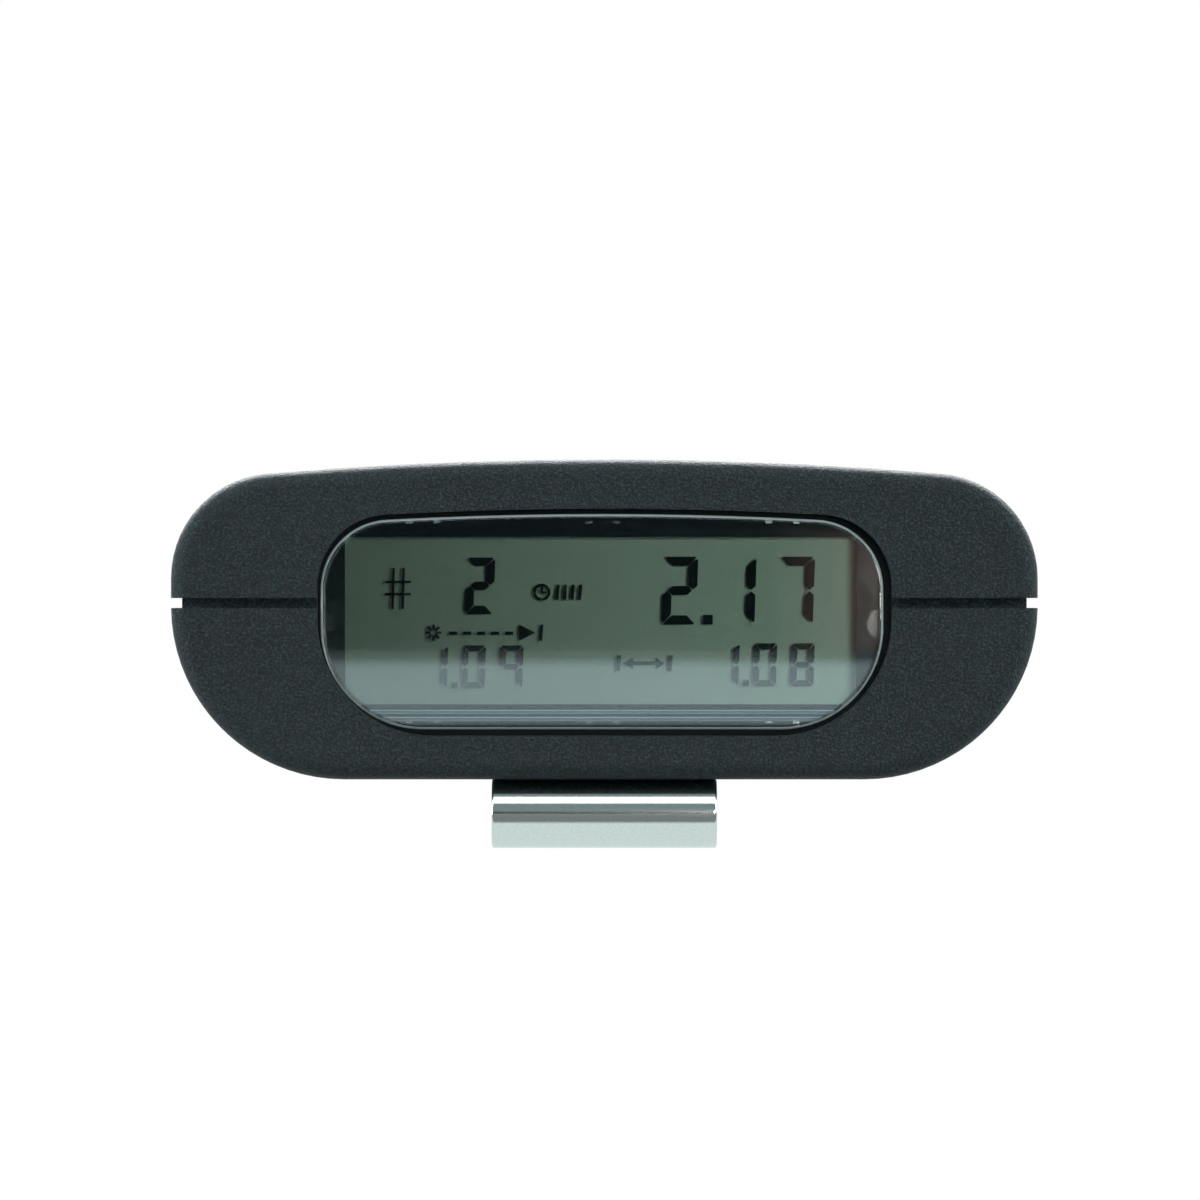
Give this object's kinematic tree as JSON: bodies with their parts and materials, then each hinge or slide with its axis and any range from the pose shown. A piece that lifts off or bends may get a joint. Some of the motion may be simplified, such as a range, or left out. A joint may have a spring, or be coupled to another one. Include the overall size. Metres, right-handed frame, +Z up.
{
  "type": "shot timer",
  "caption": "Belt-worn shot timer: flat black clamshell case, LCD behind a clear window in its end face, keypad, sounder and a bent steel belt clip.",
  "frame": {"origin": "under the middle of the case, at the lowest face of the belt clip", "axes": "the display end faces -Y, the keypad face is up along +Z, and X runs across the case"},
  "size_m": [0.08, 0.118, 0.0363],
  "materials": {
    "case_plastic": "fine spark-eroded grain",
    "label_film": "satin printed film, blank",
    "window_clear": "polished clear acrylic",
    "black_rubber": "soft matt",
    "holder_plastic": "glossy black",
    "polariser_film": "neutral grey-green film",
    "lcd_glass": "clear float glass",
    "reflector_film": "grey satin reflector",
    "tinned_metal": "tinned",
    "screw_steel": "zinc plated",
    "black_screw": "blackened steel",
    "circuit_board": "solder mask",
    "chip_epoxy": "moulded epoxy",
    "capacitor_sleeve": "shrink sleeve",
    "magnet_grey": "plated cup",
    "cone_film": "polyester film",
    "black_cloth": "woven dust cloth",
    "battery_wrap": "plain printed can",
    "lead_black": "insulated wire",
    "lead_red": "insulated wire",
    "foam_grey": "open-cell foam",
    "clip_steel": "brushed spring steel",
    "start_key": "moulded silicone",
    "small_key": "moulded silicone",
    "plunger_plastic": "moulded"
  },
  "bodies": {
    "case": {"battery": "battery_wrap", "battery_lead_black": "lead_black", "battery_lead_red": "lead_red", "battery_pad": "foam_grey", "battery_snap": "black_rubber", "battery_terminals": "tinned_metal", "belt_clip_base": "clip_steel", "board_screws": "screw_steel", "capacitors": "capacitor_sleeve", "case_screws": "screw_steel", "clip_rivets": "screw_steel", "crystal": "tinned_metal", "display_board": "circuit_board", "display_window": "window_clear", "driver_blob": "chip_epoxy", "face_label": "label_film", "front_polariser": "polariser_film", "front_shell": "case_plastic", "header_pins": "tinned_metal", "header_strip": "chip_epoxy", "holder_screws": "black_screw", "lcd_front_glass": "lcd_glass", "lcd_holder": "holder_plastic", "lcd_pins": "tinned_metal", "lcd_rear_glass": "lcd_glass", "lcd_reflector": "reflector_film", "main_board": "circuit_board", "microcontroller": "chip_epoxy", "microphone": "tinned_metal", "microphone_boot": "black_rubber", "rear_shell": "case_plastic", "speaker_cloth": "black_cloth", "speaker_cone": "cone_film", "speaker_frame": "tinned_metal", "speaker_leads": "lead_black", "speaker_magnet": "magnet_grey", "switch_bodies": "chip_epoxy", "window_gasket": "black_rubber"},
    "door": {"battery_door": "case_plastic"},
    "clip_leaf": {"belt_clip_leaf": "clip_steel"},
    "power_key": {"power_button": "small_key", "power_plunger": "plunger_plastic"},
    "back_key": {"back_button": "small_key", "back_plunger": "plunger_plastic"},
    "forward_key": {"forward_button": "small_key", "forward_plunger": "plunger_plastic"},
    "menu_key": {"menu_button": "small_key", "menu_plunger": "plunger_plastic"},
    "start_key": {"start_button": "start_key", "start_plunger": "plunger_plastic"}
  },
  "joints": [
    {"name": "power_press", "type": "slide", "parent": "case", "child": "power_key", "axis": [0, 0, -1], "range_m": [0, 0.0003], "stiffness_N_per_m": 2500},
    {"name": "back_press", "type": "slide", "parent": "case", "child": "back_key", "axis": [0, 0, -1], "range_m": [0, 0.0003], "stiffness_N_per_m": 2500},
    {"name": "forward_press", "type": "slide", "parent": "case", "child": "forward_key", "axis": [0, 0, -1], "range_m": [0, 0.0003], "stiffness_N_per_m": 2500},
    {"name": "menu_press", "type": "slide", "parent": "case", "child": "menu_key", "axis": [0, 0, -1], "range_m": [0, 0.0003], "stiffness_N_per_m": 2500},
    {"name": "start_press", "type": "slide", "parent": "case", "child": "start_key", "axis": [0, 0, -1], "range_m": [0, 0.0003], "stiffness_N_per_m": 2500},
    {"name": "battery_door_slide", "type": "slide", "parent": "case", "child": "door", "axis": [0, 1, 0], "range_m": [0, 0.052]},
    {"name": "clip_hinge", "type": "hinge", "parent": "case", "child": "clip_leaf", "pos_m": [0, -0.0554, 0], "axis": [-1, 0, 0], "range_deg": [0, 8], "stiffness_Nm_per_rad": 3, "springref_deg": -2.86}
  ]
}
